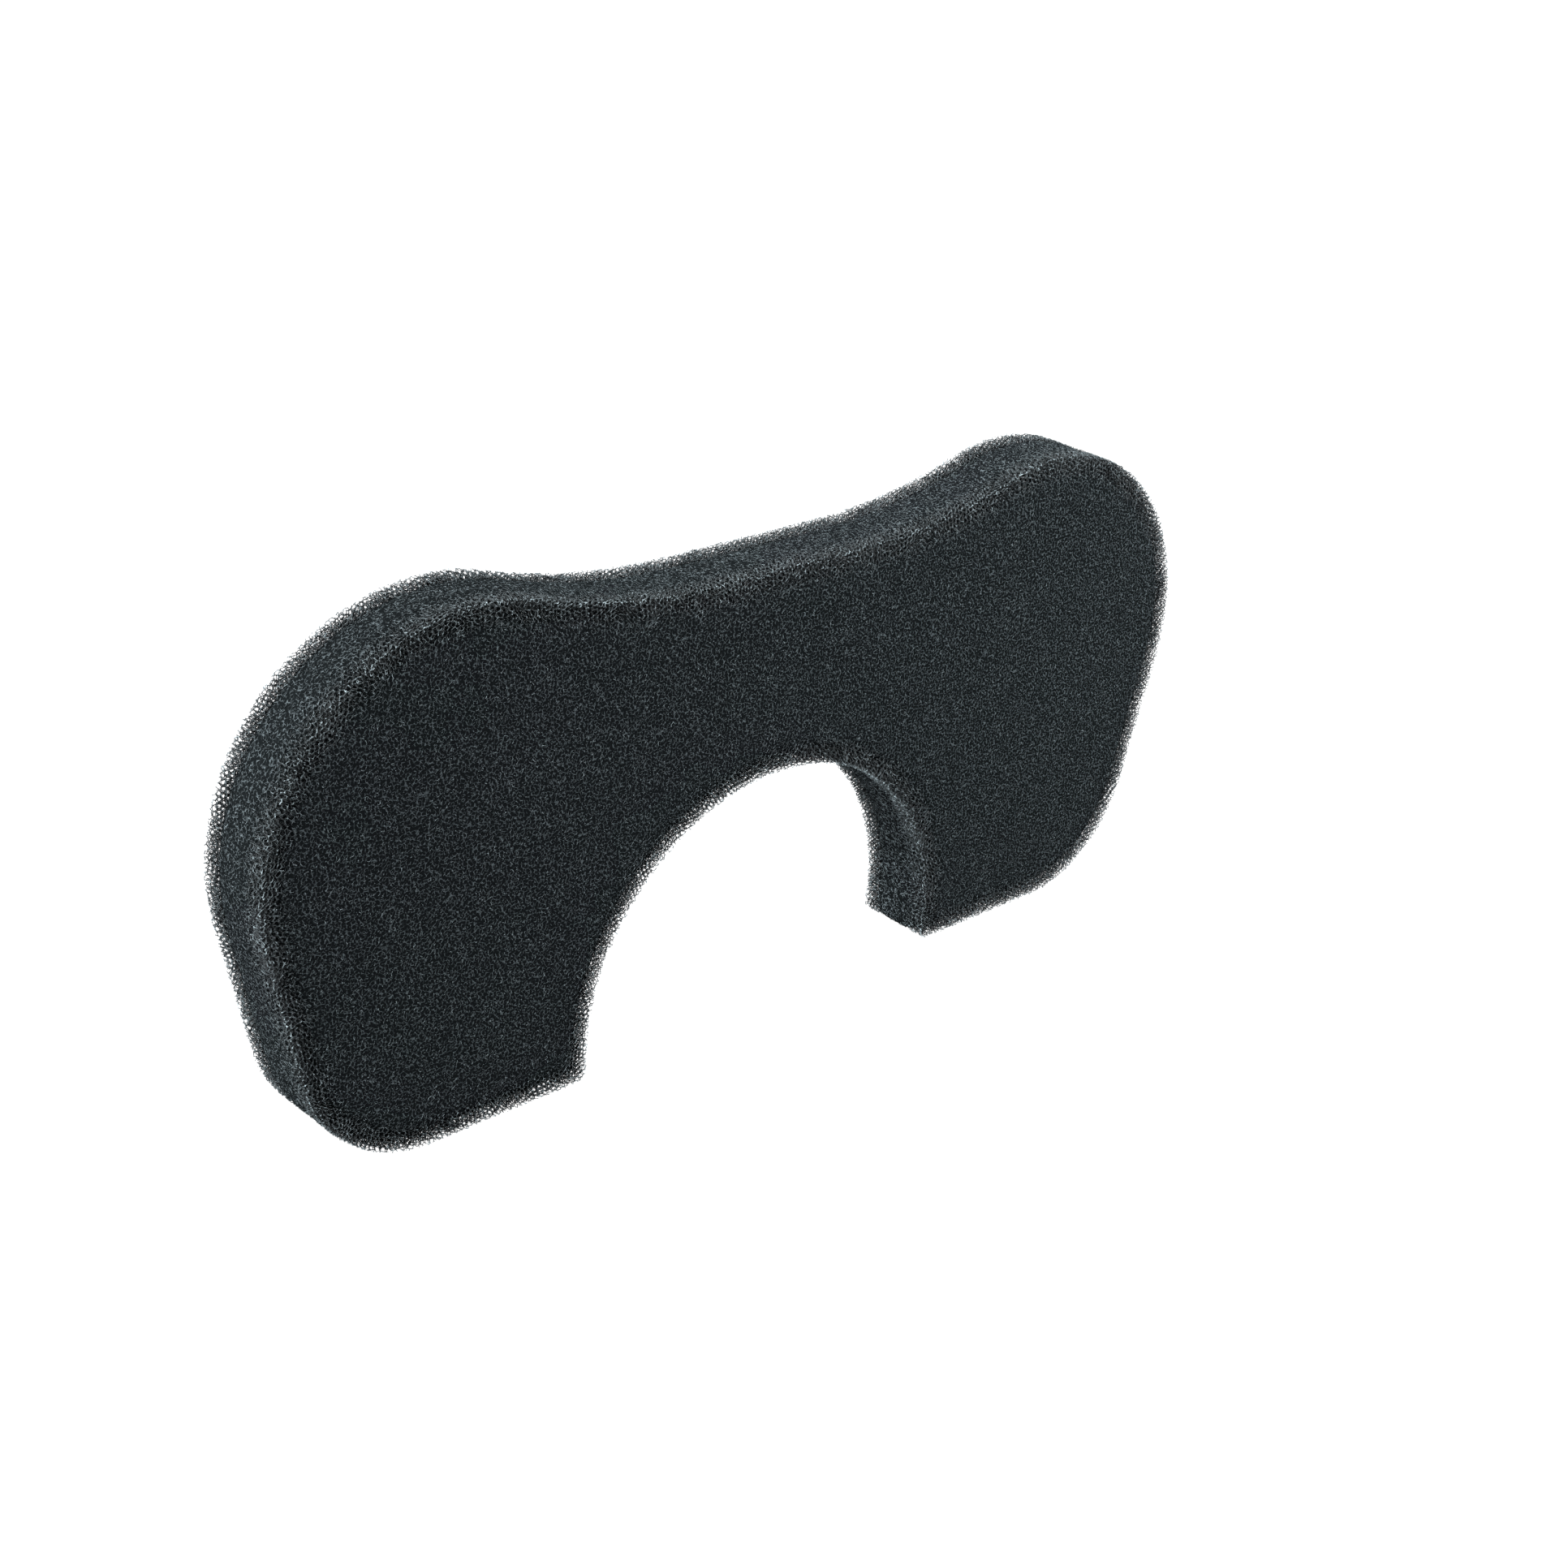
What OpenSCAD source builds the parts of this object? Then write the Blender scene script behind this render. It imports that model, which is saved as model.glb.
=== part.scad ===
// Filter sponge: one slab of open-cell foam, cut through to a goggle-shaped outline.
// The slab stands on its two feet. +X runs along its length, +Y from the front face to the back
// face, +Z up. The origin is the middle of its footprint, so it is 0 at the feet.

/* [Slab] */
// Overall length, over the two lobes
pad_length = 272; // [266:1:300]
// Overall height, to the top of the lobes
pad_height = 120; // [115:1:130]
// Thickness of the foam sheet that the pad is cut from
pad_thickness = 20; // [10:1:50]

/* [Outline] */
// Radius of the two round lobes
lobe_radius = 51; // [46:1:56]
// How far the straight top edge between the lobes lies below their tops
saddle_drop = 9.5; // [4:0.5:14]
// Radius of the hollow curve that runs from the top edge up to each lobe
saddle_radius = 160; // [120:5:200]
// Radius of the outer bottom corners
corner_radius = 33; // [20:1:38]
// Width of each foot, from the arch to where the corner's curve begins
foot_width = 41; // [30:1:44]

/* [Arch] */
// Radius of the round cut-out between the feet
arch_radius = 53.5; // [45:0.5:56]
// Height of the cut-out's centre, below which its sides run straight down
arch_centre_height = 7.5; // [4:0.5:14]
// Radius on the inner corner of each foot
foot_corner_radius = 2.5; // [1:0.5:6]

/* [Hidden] */

foam_colour = [0.15, 0.17, 0.18];
segments = 180;
overcut = 1;

lobe_x = pad_length / 2 - lobe_radius;
lobe_z = pad_height - lobe_radius;
corner_x = arch_radius + foot_width;
saddle_z = pad_height - saddle_drop;

// Each hollow curve touches the straight top edge and its lobe's circle.
saddle_curve_z = saddle_z + saddle_radius;
saddle_curve_x = lobe_x - sqrt(pow(lobe_radius + saddle_radius, 2) - pow(saddle_curve_z - lobe_z, 2));
saddle_meet = lobe_radius / (lobe_radius + saddle_radius);
saddle_meet_x = lobe_x + saddle_meet * (saddle_curve_x - lobe_x);
saddle_meet_z = lobe_z + saddle_meet * (saddle_curve_z - lobe_z);

// The straight side touches the lobe's circle and the bottom corner's circle. side_turn is how far
// below +X its outward normal points.
side_dx = lobe_x - corner_x;
side_dz = lobe_z - corner_radius;
side_span = sqrt(side_dx * side_dx + side_dz * side_dz);
side_turn = acos((corner_radius - lobe_radius) / side_span) - atan2(side_dz, side_dx);

// Right half of the outline's straight-sided core. The lobe and the corner round it off.
module half_core() {
    polygon([
        [0, 0],
        [corner_x, 0],
        [corner_x + corner_radius * cos(side_turn), corner_radius - corner_radius * sin(side_turn)],
        [lobe_x + lobe_radius * cos(side_turn), lobe_z - lobe_radius * sin(side_turn)],
        [lobe_x, lobe_z],
        [saddle_meet_x, saddle_meet_z],
        [saddle_curve_x, saddle_z],
        [0, saddle_z]
    ]);
}

module half_outline() {
    difference() {
        union() {
            half_core();
            translate([lobe_x, lobe_z]) circle(r = lobe_radius, $fn = segments);
            translate([corner_x, corner_radius]) circle(r = corner_radius, $fn = segments);
        }
        translate([saddle_curve_x, saddle_curve_z]) circle(r = saddle_radius, $fn = segments);
    }
}

// Cut-out between the feet: a round top, straight sides, and an eased corner at each foot.
module arch_outline() {
    translate([0, arch_centre_height]) circle(r = arch_radius, $fn = segments);
    translate([-arch_radius, -overcut]) square([2 * arch_radius, arch_centre_height + overcut]);
    for (side = [0, 1]) {
        mirror([side, 0]) foot_corner_outline();
    }
}

module foot_corner_outline() {
    difference() {
        translate([arch_radius - overcut, -overcut]) {
            square([foot_corner_radius + overcut, foot_corner_radius + overcut]);
        }
        translate([arch_radius + foot_corner_radius, foot_corner_radius]) {
            circle(r = foot_corner_radius, $fn = segments);
        }
    }
}

module pad_outline() {
    difference() {
        union() {
            half_outline();
            mirror([1, 0]) half_outline();
        }
        arch_outline();
    }
}

// The sponge itself: the outline, cut square through the sheet.
module foam_pad() {
    color(foam_colour) {
        translate([0, pad_thickness / 2, 0]) rotate([90, 0, 0]) {
            linear_extrude(height = pad_thickness) pad_outline();
        }
    }
}

foam_pad();
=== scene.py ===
import bmesh
import bpy
import numpy as np
from mathutils import Matrix, Vector


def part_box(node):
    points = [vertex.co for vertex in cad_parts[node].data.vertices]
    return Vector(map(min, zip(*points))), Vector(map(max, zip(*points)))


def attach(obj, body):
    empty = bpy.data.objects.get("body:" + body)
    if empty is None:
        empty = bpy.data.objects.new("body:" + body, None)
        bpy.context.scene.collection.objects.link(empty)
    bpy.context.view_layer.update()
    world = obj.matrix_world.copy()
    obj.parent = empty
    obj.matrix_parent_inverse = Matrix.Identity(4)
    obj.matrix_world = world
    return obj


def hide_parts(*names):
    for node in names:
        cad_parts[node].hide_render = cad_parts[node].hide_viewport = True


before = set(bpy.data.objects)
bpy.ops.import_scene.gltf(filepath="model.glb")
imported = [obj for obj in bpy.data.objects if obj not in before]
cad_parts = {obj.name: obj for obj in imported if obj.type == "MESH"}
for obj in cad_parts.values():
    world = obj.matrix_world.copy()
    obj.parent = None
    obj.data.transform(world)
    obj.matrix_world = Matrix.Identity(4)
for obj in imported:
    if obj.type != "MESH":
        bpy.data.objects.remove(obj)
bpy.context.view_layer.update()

# Studio. A light table that glows white from below, a white surround, a wide lamp overhead, softboxes
# at the left and the front right, and a long-lens camera that looks down on the pad from its front
# left, a little tilted.
camera_place = (-0.3622, -0.3711, 0.3009)
camera_azimuth, camera_elevation, camera_roll = np.radians((-45.19, 25.40, 4.44))
camera_lens = 57.7
floor_reach = 4.0
floor_colour = (0.02, 0.02, 0.02, 1.0)
floor_glow = 1.0
surround_strength = 1.02

camera_data = bpy.data.cameras.new("studio_camera")
camera_data.lens = camera_lens
camera_data.clip_start = 0.01
camera_data.clip_end = 20
camera = bpy.data.objects.new("studio_camera", camera_data)
bpy.context.scene.collection.objects.link(camera)
towards_camera = Vector((
    np.sin(camera_azimuth) * np.cos(camera_elevation),
    -np.cos(camera_azimuth) * np.cos(camera_elevation),
    np.sin(camera_elevation),
))
level_right = Vector((np.cos(camera_azimuth), np.sin(camera_azimuth), 0.0))
level_up = towards_camera.cross(level_right)
camera_right = np.cos(camera_roll) * level_right + np.sin(camera_roll) * level_up
camera_up = towards_camera.cross(camera_right)
camera.matrix_world = Matrix.Translation(camera_place) @ Matrix(
    (camera_right, camera_up, towards_camera)
).transposed().to_4x4()
bpy.context.scene.camera = camera

bpy.context.scene.view_settings.view_transform = "Standard"
world = bpy.data.worlds.new("studio_surround")
world.use_nodes = True
world.node_tree.nodes["Background"].inputs["Color"].default_value = (1.0, 1.0, 1.0, 1.0)
world.node_tree.nodes["Background"].inputs["Strength"].default_value = surround_strength
bpy.context.scene.world = world

pad_middle = Vector((0.0, 0.0, 0.06))


def studio_lamp(name, kind, place, energy, **settings):
    """A lamp at place, turned to face the middle of the pad."""
    lamp = bpy.data.lights.new(name, kind)
    lamp.energy = energy
    for key, value in settings.items():
        setattr(lamp, key, value)
    ob = bpy.data.objects.new(name, lamp)
    ob.location = place
    ob.rotation_euler = (Vector(place) - pad_middle).to_track_quat("Z", "Y").to_euler()
    bpy.context.scene.collection.objects.link(ob)


studio_lamp("overhead_diffuser", "SUN", (-0.42, 0.30, 0.90), 18.5, angle=0.5)
studio_lamp("front_softbox", "AREA", (0.44, -0.30, 0.40), 26.0, size=0.2)
studio_lamp("left_softbox", "AREA", (-2.04, -0.36, 0.24), 300.0, size=0.9)

floor_mesh = bpy.data.meshes.new("studio_floor")
floor_mesh.from_pydata(
    [(x, y, 0.0) for x, y in ((-floor_reach, -floor_reach), (floor_reach, -floor_reach),
                              (floor_reach, floor_reach), (-floor_reach, floor_reach))],
    [], [(0, 1, 2, 3)])
floor = bpy.data.objects.new("studio_floor", floor_mesh)
bpy.context.scene.collection.objects.link(floor)
floor_material = bpy.data.materials.new("studio_floor")
floor_material.use_nodes = True
floor_shader = floor_material.node_tree.nodes["Principled BSDF"]
floor_shader.inputs["Base Color"].default_value = floor_colour
floor_shader.inputs["Roughness"].default_value = 1.0
floor_shader.inputs["Specular IOR Level"].default_value = 0.0
floor_shader.inputs["Emission Color"].default_value = (1.0, 1.0, 1.0, 1.0)
floor_shader.inputs["Emission Strength"].default_value = floor_glow
floor_mesh.materials.append(floor_material)

# Foam body. The slab is knife-cut from a block of black open-cell polyurethane foam. Too deep to
# see through, its inside is one dark mass, pitted by the pores, which the skin of struts covers. Its
# near-black gaps between the cell walls are the foam's own black and painted shade in the pores' depths.
mm = 0.001
low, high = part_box("foam_pad")
pad_length = (high.x - low.x) / mm
pad_height = (high.z - low.z) / mm
pad_thickness = (high.y - low.y) / mm
lobe_radius = 51.0
saddle_drop = 9.5
saddle_radius = 160.0
corner_radius = 33.0
foot_width = 41.0
arch_radius = 53.5
arch_centre = 7.5
foot_corner = 2.5
body_sink = 0.15
body_round = 7.2


def outline_parts():
    """The right half of the outline as a chain of arcs and lines, from the top of the arch round
    the foot, the corner, the side, the lobe and the saddle to the middle of the top edge. An arc is
    (centre, radius, first angle, last angle, +1 if the foam is inside the circle or -1 outside), a
    line is (start, end, foam on its left). Circles that meet are tangent, so their meeting angles
    come from the line between their centres."""
    lobe = np.array((pad_length / 2 - lobe_radius, pad_height - lobe_radius))
    corner = np.array((arch_radius + foot_width, corner_radius))
    saddle_z = pad_height - saddle_drop
    rise = saddle_z + saddle_radius - lobe[1]
    saddle = np.array((lobe[0] - np.sqrt((lobe_radius + saddle_radius) ** 2 - rise ** 2),
                       saddle_z + saddle_radius))
    span = lobe - corner
    side = np.arctan2(span[1], span[0]) - np.arccos((corner_radius - lobe_radius) / np.hypot(*span))
    side_normal = np.array((np.cos(side), np.sin(side)))
    over = np.arctan2(*(saddle - lobe)[::-1])
    foot = np.array((arch_radius + foot_corner, foot_corner))
    return [
        ("arc", np.array((0.0, arch_centre)), arch_radius, np.pi / 2, 0.0, -1),
        ("line", np.array((arch_radius, arch_centre)), np.array((arch_radius, foot_corner))),
        ("arc", foot, foot_corner, np.pi, 1.5 * np.pi, 1),
        ("line", np.array((foot[0], 0.0)), np.array((corner[0], 0.0))),
        ("arc", corner, corner_radius, -np.pi / 2, side, 1),
        ("line", corner + corner_radius * side_normal, lobe + lobe_radius * side_normal),
        ("arc", lobe, lobe_radius, side, over, 1),
        ("arc", saddle, saddle_radius, over - np.pi, -np.pi / 2, -1),
        ("line", np.array((saddle[0], saddle_z)), np.array((0.0, saddle_z))),
    ]


parts = outline_parts()


def part_length(part):
    """The length of an arc or a line."""
    if part[0] == "arc":
        return abs(part[4] - part[3]) * part[2]
    return float(np.hypot(*(part[2] - part[1])))


def part_points(part, steps):
    """Points and outward normals at equal steps along an arc or a line, its end left out."""
    t = np.arange(steps) / steps
    if part[0] == "arc":
        a = part[3] + (part[4] - part[3]) * t
        ray = np.stack((np.cos(a), np.sin(a)), 1)
        return part[1] + part[2] * ray, ray * part[5]
    run = (part[2] - part[1]) / part_length(part)
    normal = np.tile((run[1], -run[0]), (steps, 1))
    return part[1] + (part[2] - part[1]) * t[:, None], normal


def outline_depth(x, z):
    """How far points lie inside the outline, negative outside: the distance to the nearest arc or
    line of the mirrored chain, with the sign of the side of it that the foam is on."""
    x = np.abs(x)
    best = np.full(x.shape, np.inf)
    depth = np.zeros(x.shape)
    for part in parts:
        if part[0] == "arc":
            dx, dz = x - part[1][0], z - part[1][1]
            r = np.hypot(dx, dz)
            first, last = sorted((part[3], part[4]))
            turn = (np.arctan2(dz, dx) - first) % (2 * np.pi)
            on = turn <= last - first
            away = np.where(on, np.abs(r - part[2]), np.inf)
            inside = part[5] * (part[2] - r)
        else:
            run = part[2] - part[1]
            length = part_length(part)
            along = ((x - part[1][0]) * run[0] + (z - part[1][1]) * run[1]) / length
            inside = ((z - part[1][1]) * run[0] - (x - part[1][0]) * run[1]) / length
            away = np.where((along >= 0) & (along <= length), np.abs(inside), np.inf)
        nearer = away < best
        best = np.where(nearer, away, best)
        depth = np.where(nearer, inside, depth)
    return depth


def skin_room(p):
    """Four depths in mm, positive in the foam: below the nearest cut face, above the body, below the
    rim and below the front or back face. The second is the signed distance to the body's rounded
    edge in the plane of the last two."""
    rim = outline_depth(p[:, 0], p[:, 2])
    face = pad_thickness / 2 - np.abs(p[:, 1])
    q = body_sink + body_round - np.stack((rim, face), 1)
    below = np.hypot(*np.maximum(q, 0).T) + np.minimum(q.max(1), 0) - body_round
    return np.minimum(rim, face), below, rim, face


# Steps along each stretch of the chain: the arch, its wall and the foot's inner corner, then the
# sole, then the outer corner, the side, the lobe, the saddle and the flat of the top.
arch_steps = (30, 3, 4)
sole_steps = 14
back_steps = (10, 4, 14, 5, 4)
round_steps = 5


def half_ring():
    """The right half of the outline as points and outward normals, from the middle of the arch to
    the middle of the top edge, which ends the chain."""
    steps = (*arch_steps, sole_steps, *back_steps)
    walked = [part_points(part, n) for part, n in zip(parts, steps)]
    points = np.concatenate([w[0] for w in walked] + [np.array(((0.0, pad_height - saddle_drop),))])
    normals = np.concatenate([w[1] for w in walked] + [np.array(((0.0, 1.0),))])
    return points, normals


def body_surface():
    """A pillow-edged slab. Its edge is a profile carried round the outline: the profile is a straight
    wall sunk body_sink below the cut face, with a quarter circle of body_round at each end, and each
    outline point moves inwards along its normal by the profile's depth, and in the feet's inner
    corners no nearer to the arch's wall or to the sole than that depth. Its two faces are ruled
    between the arch, wall and all, and the outer edge, one line from each step of one to the same
    step of the other, and the last line runs along the sole."""
    points, normals = half_ring()
    turn = np.linspace(0, np.pi / 2, round_steps + 1)
    half = pad_thickness / 2 - body_sink - body_round
    depth = body_sink + body_round * (1 - np.cos(turn))
    across = half + body_round * np.sin(turn)
    depth = np.concatenate((depth[::-1], depth))
    across = np.concatenate((-across[::-1], across))
    ring = points[None] - depth[:, None, None] * normals[None]
    hugs_sole = np.arange(len(points)) <= sum(arch_steps) + sole_steps
    beside_arch = (np.arange(len(points)) >= arch_steps[0]) & hugs_sole
    ring[..., 0] = np.where(beside_arch, np.maximum(ring[..., 0], arch_radius + depth[:, None]),
                            ring[..., 0])
    ring[..., 1] = np.where(beside_arch, np.maximum(ring[..., 1], depth[:, None]), ring[..., 1])
    mirrored = ring[:, -2:0:-1] * (-1, 1)
    ring = np.concatenate((ring, mirrored), 1)
    rows, around = ring.shape[:2]
    wall = np.stack((ring[..., 0], np.broadcast_to(across[:, None], (rows, around)), ring[..., 1]), -1)
    row, column = np.meshgrid(np.arange(rows - 1), np.arange(around), indexing="ij")
    after = (column + 1) % around
    wall_faces = np.stack((row * around + column, (row + 1) * around + column,
                           (row + 1) * around + after, row * around + after), -1).reshape(-1, 4)
    chain = sum(arch_steps)
    inner = np.arange(-chain, chain + 1) % around
    outer = around // 2 - np.arange(-chain, chain + 1)
    sole = chain + np.arange(sole_steps + 1)
    blend = np.linspace(0, 1, sole_steps + 1)[None, :, None]
    verts, faces = [wall.reshape(-1, 3)], [wall_faces]
    count = rows * around
    for end, facing in ((0, -1), (rows - 1, 1)):
        sheet = wall[end][inner][:, None] * (1 - blend) + wall[end][outer][:, None] * blend
        sheet[-1] = wall[end][sole]
        sheet[0] = wall[end][-sole]
        long, wide = sheet.shape[:2]
        i, j = np.meshgrid(np.arange(long - 1), np.arange(wide - 1), indexing="ij")
        corner = count + i * wide + j
        quad = np.stack((corner, corner + wide, corner + wide + 1, corner + 1), -1).reshape(-1, 4)
        verts.append(sheet.reshape(-1, 3))
        faces.append(quad if facing > 0 else quad[:, ::-1])
        count += long * wide
    return np.concatenate(verts) * mm, np.concatenate(faces)


def mesh_piece(name, verts, faces):
    """A new object from an array of points in metres and an array of faces of one size."""
    mesh = bpy.data.meshes.new(name)
    sides = faces.shape[1]
    mesh.vertices.add(len(verts))
    mesh.vertices.foreach_set("co", verts.astype(np.float32).ravel())
    mesh.loops.add(faces.size)
    mesh.loops.foreach_set("vertex_index", faces.astype(np.int32).ravel())
    mesh.polygons.add(len(faces))
    mesh.polygons.foreach_set("loop_start", np.arange(0, faces.size, sides, dtype=np.int32))
    mesh.polygons.foreach_set("use_smooth", np.ones(len(faces), bool))
    mesh.update(calc_edges=True)
    ob = bpy.data.objects.new(name, mesh)
    bpy.context.scene.collection.objects.link(ob)
    return ob


class Shade:
    """One socket of a node tree, on which sums and products can be written."""

    def __init__(self, tree, socket):
        self.tree = tree
        self.socket = socket

    def math(self, operation, *values):
        return node(self.tree, "ShaderNodeMath", {"operation": operation}, dict(enumerate(values)))

    def __add__(self, other):
        return self.math("ADD", self, other)

    def __mul__(self, other):
        return self.math("MULTIPLY", self, other)

    __radd__ = __add__
    __rmul__ = __mul__


def node(tree, kind, settings, inputs, output=0):
    """Adds a node of a kind to a tree, with its settings set first and then its sockets, each to a
    value or linked to a Shade, and gives the wanted output back as a Shade."""
    made = tree.nodes.new(kind)
    for key, value in settings.items():
        setattr(made, key, value)
    for key, value in inputs.items():
        if isinstance(value, Shade):
            tree.links.new(value.socket, made.inputs[key])
        else:
            made.inputs[key].default_value = value
    return Shade(tree, made.outputs[output])


def foam_material(name, roughness, gloss):
    """A new material of the foam's finish: its tree and its one shader, still uncoloured."""
    material = bpy.data.materials.new(name)
    material.use_nodes = True
    shader = material.node_tree.nodes["Principled BSDF"]
    shader.inputs["Roughness"].default_value = roughness
    shader.inputs["Specular IOR Level"].default_value = gloss
    return material, material.node_tree, shader


def mix(tree, factor, first, second):
    """A colour that goes from first to second as factor goes from 0 to 1, and on past second."""
    return node(tree, "ShaderNodeMix", {"data_type": "RGBA", "clamp_factor": False},
                {"Factor": factor, 6: first, 7: second}, output=2)


pore_pitch = 0.85
wall_core, wall_edge = 0.03, 0.17
break_pitch = 0.7
break_start, break_end = 0.38, 0.62
pit_depth = 0.4
# Gaps between the cell walls: the foam's black, darkened further as painted shade.
depths_painted_shade = (0.0016, 0.0020, 0.0022, 1)
depths_grey = (0.0195, 0.0240, 0.0260, 1)
dark_depth = 2.4
depth_shade = 0.75
# Painted light on the body's rim and, more, on the arch's wall.
rim_painted_light = 1.3
arch_painted_light = 1.8

# The pattern of the struts below the skin: cell walls, broken up by a coarser cloud, and dimmed by
# the lit attribute, painted light and shade: it falls with depth as painted shade and is higher on
# the rim and the arch's wall as painted light.
depths, tree, shader = foam_material("foam_depths", roughness=0.8, gloss=0.0)
spot = node(tree, "ShaderNodeTexCoord", {}, {}, output="Object")
wall_gap = node(tree, "ShaderNodeTexVoronoi", {"feature": "DISTANCE_TO_EDGE"},
                {"Vector": spot, "Scale": 1 / (pore_pitch * mm)})
cell_wall = node(tree, "ShaderNodeMapRange", {"interpolation_type": "SMOOTHSTEP"},
                 {"Value": wall_gap, "From Min": wall_core, "From Max": wall_edge,
                  "To Min": 1.0, "To Max": 0.0})
broken = node(tree, "ShaderNodeTexNoise", {},
              {"Vector": spot, "Scale": 1 / (break_pitch * mm), "Detail": 1.0})
seen = node(tree, "ShaderNodeMapRange", {"interpolation_type": "SMOOTHSTEP"},
            {"Value": broken, "From Min": break_start, "From Max": break_end,
             "To Min": 0.0, "To Max": 1.0})
light_share = node(tree, "ShaderNodeAttribute", {"attribute_name": "lit"}, {}, output="Fac")
# Here the painted light and shade of the lit attribute dims or brightens the cell walls.
cell_wall = cell_wall * seen * light_share
tree.links.new(mix(tree, cell_wall, depths_painted_shade, depths_grey).socket, shader.inputs["Base Color"])
pitted = node(tree, "ShaderNodeBump", {},
              {"Strength": 1.0, "Distance": pit_depth * mm, "Height": cell_wall})
tree.links.new(pitted.socket, shader.inputs["Normal"])

weld_reach = 0.01
body_verts, body_faces = body_surface()
foam_body = mesh_piece("foam_body", body_verts, body_faces)
weld = bmesh.new()
weld.from_mesh(foam_body.data)
bmesh.ops.remove_doubles(weld, verts=weld.verts, dist=weld_reach * mm)
bmesh.ops.recalc_face_normals(weld, faces=weld.faces)
weld.to_mesh(foam_body.data)
weld.free()
spots = np.empty(3 * len(foam_body.data.vertices))
foam_body.data.vertices.foreach_get("co", spots)
spots = spots.reshape(-1, 3) / mm
sunk, _, spot_rim, spot_face = skin_room(spots)
# The lit attribute is painted light and shade: darker with depth below the skin, lighter on the rim and
# lighter still on the arch's wall.
fade = np.clip((sunk - body_sink) / (dark_depth - body_sink), 0, 1)
light = 1 - depth_shade * fade ** 2 * (3 - 2 * fade)
on_rim = spot_rim < spot_face
by_arch = np.hypot(spots[:, 0], spots[:, 2] - arch_centre) < arch_radius + body_round
light[on_rim] *= rim_painted_light
light[on_rim & by_arch] *= arch_painted_light
foam_body.data.attributes.new("lit", "FLOAT", "POINT").data.foreach_set("value", light)
foam_body.data.materials.append(depths)
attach(foam_body, "root")
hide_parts("foam_pad")

# Skin of open cells. Reticulated foam is a net of thin struts, four meeting at each knot, left when
# the cell windows are burnt out. The net stands on the body: one knot deep on the flat cuts and a few
# cells deep round the sharp edges, where light comes through it. The knife has cut its outer struts.
cell = 1.3
flat_knot_reach = 0.052 * cell
edge_knot_reach = 0.080 * cell
edge_depth = 1.2
# The next numbers set the painted highlights, glints, light and shade on the struts.
highlight_depth = 0.5
dullest_glint = 0.1
rim_shade = 0.5
face_shade = 0.4
arch_net_light = 0.4
arch_band = 4.0
flat_painted_light = 0.6
crease_highlight = 1.4
crease_reach = 1.0
shade_reach = 7.0
knot_wander = 0.16
lattice_tilt = (0.62, 0.47, 1.13)
drift = 0.55
second_drift = 0.7
drift_waves = ((19.0, 0.7), (13.0, 2.1), (23.0, 4.4))
knot_places = np.array((
    (0, 1, 2), (0, 3, 2), (0, 2, 1), (0, 2, 3), (1, 0, 2), (3, 0, 2),
    (1, 2, 0), (3, 2, 0), (2, 0, 1), (2, 0, 3), (2, 1, 0), (2, 3, 0),
))
tilt = np.array(Matrix.Rotation(lattice_tilt[0], 3, "X") @ Matrix.Rotation(lattice_tilt[1], 3, "Y")
                @ Matrix.Rotation(lattice_tilt[2], 3, "Z"))
drift_leans = (0.6, -0.4)
key_span = 4096
key_stride = 0x9E3779B97F4A7C15
salt_stride = 0x1000193
stirrer = 0xBF58476D1CE4E5B9
neighbour_reach = 1.9
shortest_stub = 0.25


def scatter(keys, salt):
    """A number from -1 to 1 for each whole-number key, always the same for the same key: the key is
    stirred by multiplying and folding its high bits onto its low bits, and its last bits are kept."""
    h = keys.astype(np.uint64) * np.uint64(key_stride) + np.uint64(salt * salt_stride)
    for fold in (30, 27, 31):
        h = (h ^ (h >> np.uint64(fold))) * np.uint64(stirrer)
    return (h >> np.uint64(40)).astype(float) / 2 ** 23 - 1


def flow(p):
    """The slow drift of the cells' places, in mm: along each axis, for each wave length, the sum of
    two sine waves that run slantwise across the other two axes."""
    x, y, z = p[:, 0], p[:, 1], p[:, 2]
    shift = np.zeros_like(p)
    for i, (a, b) in enumerate(((y, z), (z, x), (x, y))):
        for wave, phase in drift_waves:
            turn = 2 * np.pi / wave
            shift[:, i] += drift * np.sin(turn * (a + drift_leans[0] * b) + phase + i)
            shift[:, i] += drift * np.sin(turn * (b + drift_leans[1] * a) + 2 * phase - i) * second_drift
    return shift


def knot_keys(quarters):
    """One whole number for each knot, from its place in quarter cells."""
    q = quarters + key_span // 2
    return (q[..., 0] * key_span + q[..., 1]) * key_span + q[..., 2]


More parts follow.
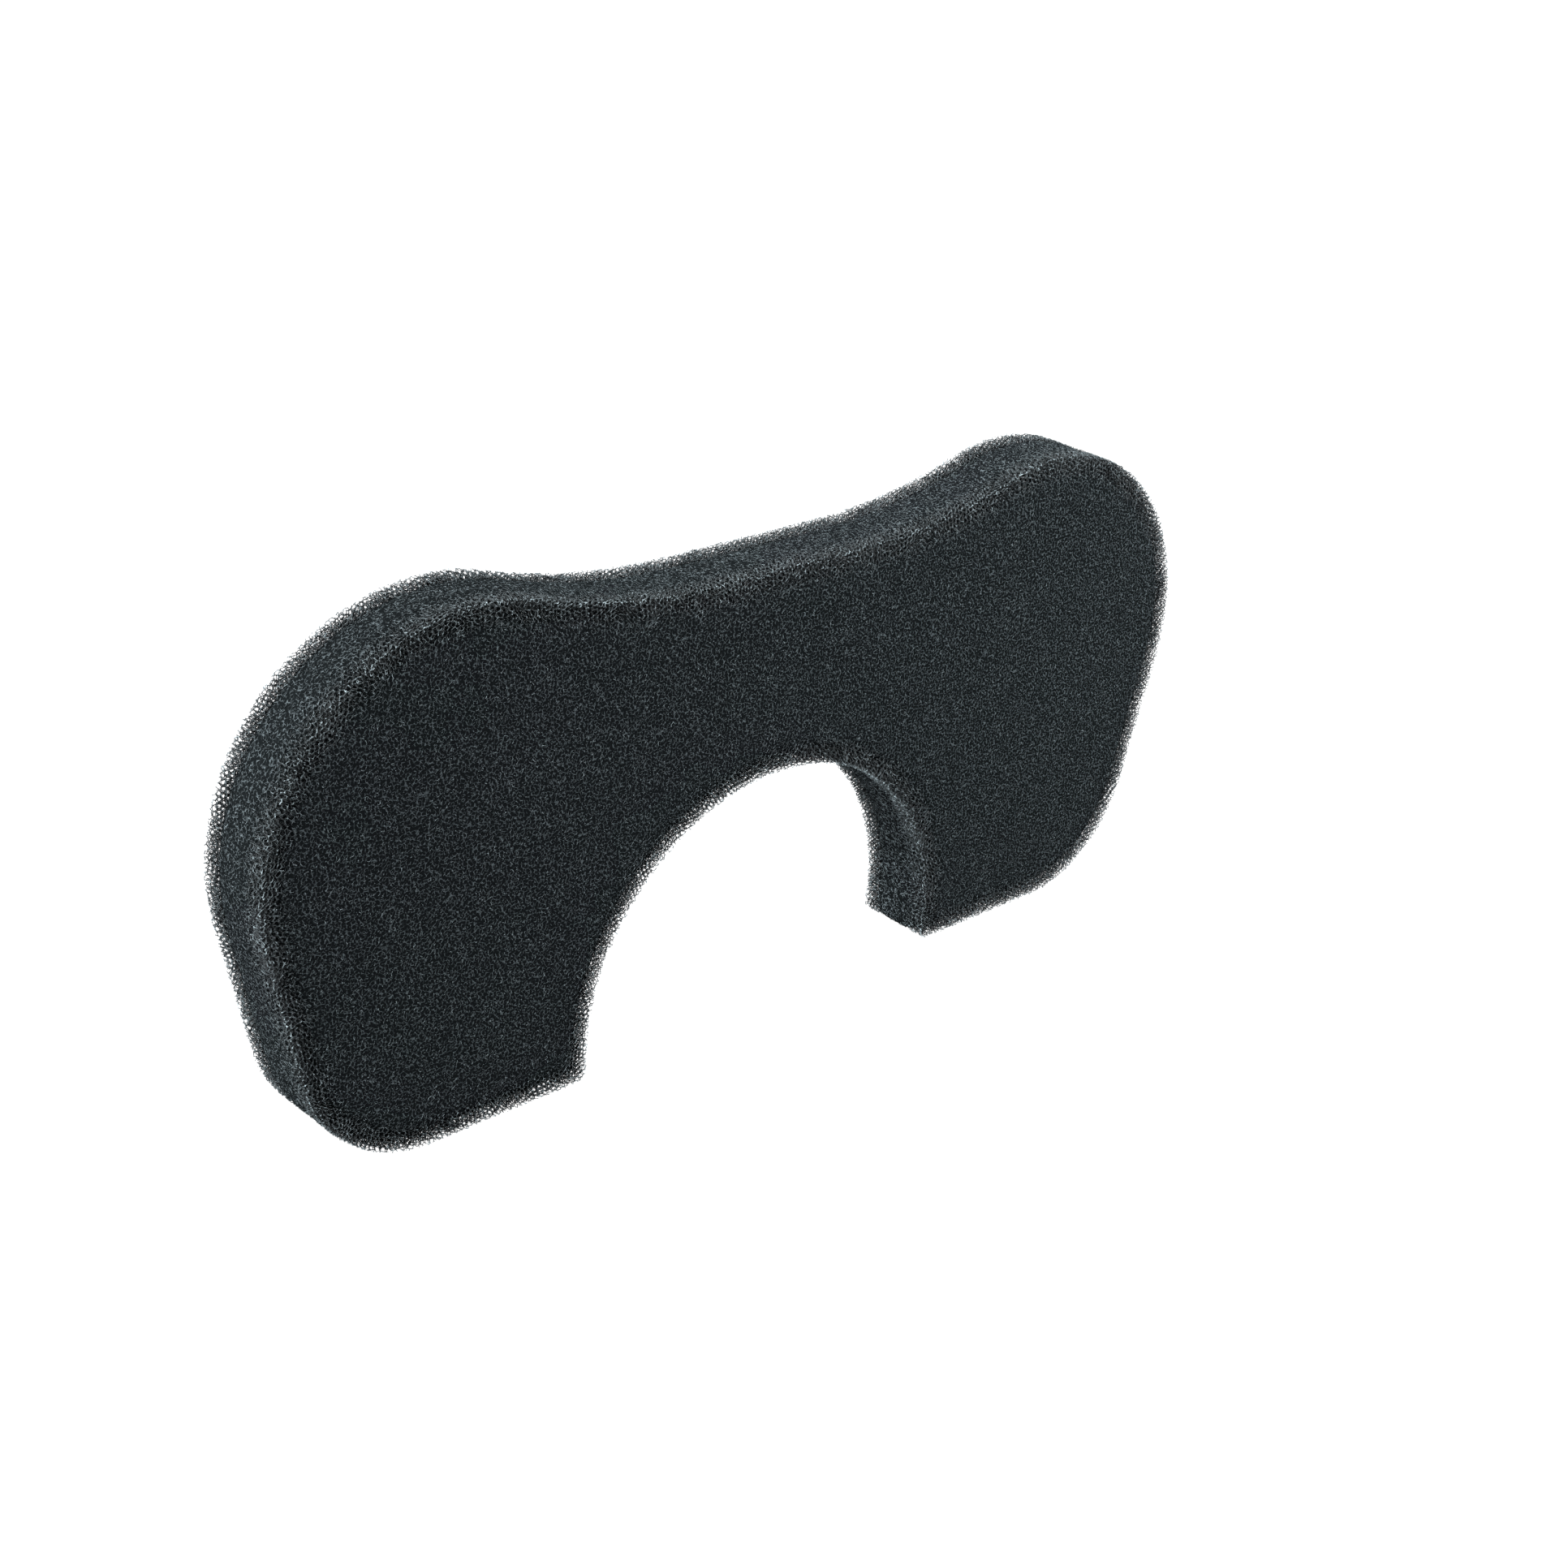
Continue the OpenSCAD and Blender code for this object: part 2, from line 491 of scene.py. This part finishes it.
def knots():
    """Every knot near the skin. Cells pack as truncated octahedra, twelve knots to a cubic cell, and
    the lattice is turned out of line with the pad, drifts slowly, and each knot wanders by itself."""
    half = np.array((pad_length / 2, pad_thickness / 2, pad_height / 2))
    middle = np.array((0.0, 0.0, pad_height / 2))
    margin = neighbour_reach * cell + drift * (1 + second_drift) * len(drift_waves)
    reach = np.abs(tilt.T) @ (half + margin + cell)
    start = tilt.T @ middle
    spans = [np.arange(np.floor((s - r) / cell), np.ceil((s + r) / cell)) for s, r in zip(start, reach)]
    found = []
    for layer in spans[0]:
        grid = np.stack(np.meshgrid([layer], spans[1], spans[2], indexing="ij"), -1).reshape(-1, 3)
        centre = (grid + 0.5) * cell @ tilt.T
        near = np.all(np.abs(centre - middle) < half + margin, 1)
        found.append(grid[near])
    cells = np.concatenate(found)
    centre = (cells + 0.5) * cell @ tilt.T
    inside, below = skin_room(centre + flow(centre))[:2]
    cells = cells[(inside > -neighbour_reach * cell) & (below > -neighbour_reach * cell)].astype(np.int64)
    quarters = (cells[:, None] * 4 + knot_places).reshape(-1, 3)
    kinds = np.tile(np.arange(12), len(cells))
    keys = knot_keys(quarters)
    order = np.argsort(keys)
    quarters, kinds, keys = quarters[order], kinds[order], keys[order]
    place = quarters * (cell / 4) @ tilt.T
    wander = np.stack([scatter(keys, salt) for salt in (1, 2, 3)], 1) * knot_wander * cell
    return quarters, kinds, keys, place + flow(place) + wander


def arms():
    """For each of the twelve kinds of knot, the four steps to its neighbours, in an order that makes
    the hub's faces point outwards: the hub's corners lie opposite the arms, a right-handed set."""
    steps = np.array([s for s in np.ndindex(3, 3, 3)]) - 1
    steps = steps[np.abs(steps).sum(1) == 2]
    taken = {tuple(k) for k in knot_places}
    table = []
    for knot in knot_places:
        four = np.array([s for s in steps if tuple((knot + s) % 4) in taken])
        hub = -four
        if np.linalg.det(hub[1:] - hub[0]) < 0:
            four[[2, 3]] = four[[3, 2]]
        table.append(four)
    return np.array(table)


# arm_back says, for each kind of knot and each of its arms, which of the neighbour's own four arms
# points back along it. hub_faces lists the hub's three corners round each arm.
arm_steps = arms()
knot_kind = {tuple(k): i for i, k in enumerate(knot_places)}
arm_back = np.array([[
    [tuple(-back) for back in arm_steps[knot_kind[tuple((knot + step) % 4)]]].index(tuple(step))
    for step in four] for knot, four in zip(knot_places, arm_steps)])
hub_faces = np.array(((1, 2, 3), (0, 3, 2), (0, 1, 3), (0, 2, 1)))

# A knot is kept if it lies between the cut faces and the body. beside holds its four neighbours,
# found by their keys, hubs the corners of its hub, and tips where its struts end if they are cut.
quarters, kinds, keys, place = knots()
room, below, rim_depth, face_depth = skin_room(place)
kept = np.flatnonzero((room > 0) & (below > 0))
rank = np.full(len(keys), -1)
rank[kept] = np.arange(len(kept))
steps = arm_steps[kinds[kept]]
beside = np.searchsorted(keys, knot_keys(quarters[kept][:, None] + steps))

# Painted light and shade on the struts: struts near a cut face get a painted highlight and the
# deeper struts painted shade, each knot with its own painted glint, mostly dull. The net gets more
# painted light on the arch's wall, a painted highlight right on a crease and painted shade beside it.
glint = (scatter(keys, 4) / 2 + 0.5) ** 3
painted_light = np.clip(1 - room / highlight_depth, 0, 1) * (dullest_glint + (1 - dullest_glint) * glint)
from_crease = np.maximum(rim_depth, face_depth)
near_rim = rim_depth < face_depth
shaded = np.where(near_rim, rim_shade, face_shade) * np.clip(1 - from_crease / shade_reach, 0, 1)
in_arch = np.hypot(place[:, 0], place[:, 2] - arch_centre) < arch_radius + arch_band
shaded[in_arch & near_rim] = -arch_net_light
painted_light *= 1 - shaded + crease_highlight * np.clip(1 - from_crease / crease_reach, 0, 1)
# The struts' painted light is weaker on the flat faces than round the edges.
edge_share = np.clip((room + below - body_sink) / edge_depth, 0, 1)
painted_light *= flat_painted_light + (1 - flat_painted_light) * edge_share

knot_reach = flat_knot_reach + (edge_knot_reach - flat_knot_reach) * edge_share[kept]
hubs = place[kept][:, None] - knot_reach[:, None, None] * (steps / np.sqrt(2) @ tilt.T)
cut_share = room[kept][:, None] / np.maximum(room[kept][:, None] - room[beside], 1e-6)
cut_share = cut_share.clip(shortest_stub, 1)
tips = place[kept][:, None] + cut_share[..., None] * (place[beside] - place[kept][:, None])


def net_mesh(mine):
    """The struts of the chosen knots as closed shells, in metres, with each point's painted light and
    shade. Each knot is a small four-cornered hub with a face towards each neighbour.
    facing triangles are joined by three flat sides, paired so that the strut twists least. Towards a
    knot of another piece, in the body below, or beyond the cut face, the strut tapers to a point."""
    local = np.full(len(kept), -1)
    local[mine] = np.arange(len(mine))
    near = rank[beside[mine]]
    joined = np.where(near >= 0, local[near], -1)
    points = hubs[mine].reshape(-1, 3)
    i, s = np.nonzero(joined > np.arange(len(mine))[:, None])
    j = joined[i, s]
    t = arm_back[kinds[kept[mine[i]]], s]
    first = i[:, None] * 4 + hub_faces[s]
    last = j[:, None] * 4 + hub_faces[t]
    here = points[first] - place[kept[mine[i]]][:, None]
    there = points[last] - place[kept[mine[j]]][:, None]
    turns = np.array(((0, 2, 1), (1, 0, 2), (2, 1, 0)))
    twist = np.stack([((here - there[:, turn]) ** 2).sum((1, 2)) for turn in turns], 1)
    last = np.take_along_axis(last, turns[twist.argmin(1)], 1)
    k, after = np.arange(3), np.array((1, 2, 0))
    sides = [np.stack((first[:, k], first[:, after], last[:, after]), -1).reshape(-1, 3),
             np.stack((first[:, k], last[:, after], last[:, k]), -1).reshape(-1, 3)]
    i, s = np.nonzero(joined < 0)
    point = len(points) + np.arange(len(i))
    root = i[:, None] * 4 + hub_faces[s]
    point = np.repeat(point[:, None], 3, 1)
    sides.append(np.stack((root[:, k], root[:, after], point), -1).reshape(-1, 3))
    point_lighting = np.concatenate((np.repeat(painted_light[kept[mine]], 4), painted_light[beside[mine][i, s]]))
    return np.concatenate((points, tips[mine][i, s])) * mm, np.concatenate(sides), point_lighting


# The net comes as panels, each small enough to keep every strut when it is saved on its own: the
# front face, the back face and the rim, each cut into strips of equal count along the pad.
panel_knots = 15800
patches_per_metre = 60.0
patch_low, patch_gain = 0.8, 0.4
# The struts' colour runs from painted shade to painted light.
strut_painted_shade = (0.005, 0.006, 0.0065, 1)
strut_painted_light = (0.105, 0.130, 0.140, 1)

net, tree, shader = foam_material("foam_net", roughness=0.5, gloss=0.05)
spot = node(tree, "ShaderNodeTexCoord", {}, {}, output="Object")
patch = node(tree, "ShaderNodeTexNoise", {},
             {"Vector": spot, "Scale": patches_per_metre, "Detail": 2.0})
# This attribute holds each point's painted light and shade.
cut = node(tree, "ShaderNodeAttribute", {"attribute_name": "cut"}, {}, output="Fac")
strut_colour = mix(tree, cut * (patch_low + patch * patch_gain), strut_painted_shade, strut_painted_light)
tree.links.new(strut_colour.socket, shader.inputs["Base Color"])

x, y = place[kept, 0], place[kept, 1]
on_face = face_depth[kept] < rim_depth[kept]
for name, region in (("front", on_face & (y < 0)), ("back", on_face & (y >= 0)), ("rim", ~on_face)):
    members = np.flatnonzero(region)
    members = members[np.argsort(x[members], kind="stable")]
    strips = np.array_split(members, int(np.ceil(len(members) / panel_knots)))
    for number, strip in enumerate(strips, 1):
        verts, faces, point_lighting = net_mesh(np.sort(strip))
        panel = mesh_piece(f"foam_net_{name}_{number}", verts, faces)
        # Each point's painted light and shade.
        panel.data.attributes.new("cut", "FLOAT", "POINT").data.foreach_set("value", point_lighting)
        layer = panel.data.uv_layers.new(name="OFBake")
        flat = verts[:, (0, 2)] if name != "rim" else verts[:, (0, 1)]
        spread = (flat - flat.min(0)) / (flat.max(0) - flat.min(0))
        layer.data.foreach_set("uv", spread[faces.ravel()].astype(np.float32).ravel())
        panel.data.materials.append(net)
        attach(panel, "root")
        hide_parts("foam_pad")
